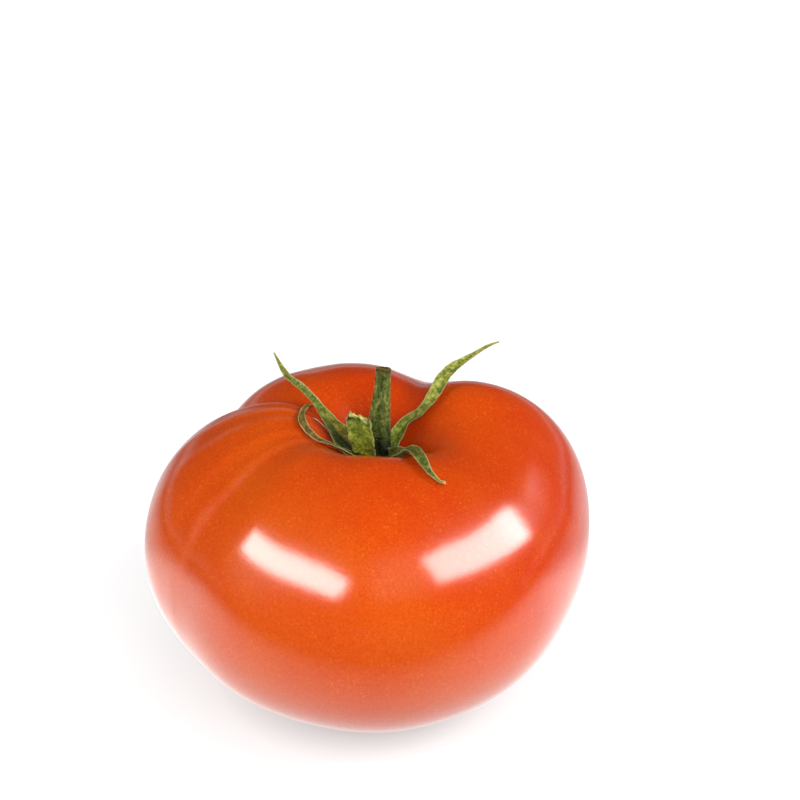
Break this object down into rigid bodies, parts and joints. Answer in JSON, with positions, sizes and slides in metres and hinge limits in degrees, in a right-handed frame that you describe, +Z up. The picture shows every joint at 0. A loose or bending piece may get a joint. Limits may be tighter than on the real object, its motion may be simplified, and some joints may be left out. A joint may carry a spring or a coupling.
{
  "type": "tomato",
  "caption": "Ripe ribbed round tomato with a stem cavity, a green calyx of long thin sepals and a cut stem stub, resting on a small flat spot.",
  "frame": {"origin": "middle of the flat spot that the fruit rests on, below the fruit's own axis", "axes": "+Z up from the resting spot to the stem, -Y towards the front of the fruit, over which the forward sepal lies, +X to the fruit's right as seen from the front"},
  "size_m": [0.088, 0.0893, 0.0684],
  "materials": {
    "tomato_skin": "smooth waxy orange-red skin with fine golden specks, wet-looking gloss",
    "calyx_green": "matte green plant tissue",
    "stem_green": "matte dark green, finely haired, with pale dots along its ribs",
    "sepal_green": "matte green with pale hairs, cream margins and dry brown patches"
  },
  "bodies": {
    "root": {"fruit": "tomato_skin", "calyx_base": "calyx_green", "stem": "stem_green", "sepal_left": "sepal_green", "sepal_curled": "sepal_green", "sepal_torn": "sepal_green", "sepal_right": "sepal_green", "sepal_front": "sepal_green"}
  },
  "joints": []
}
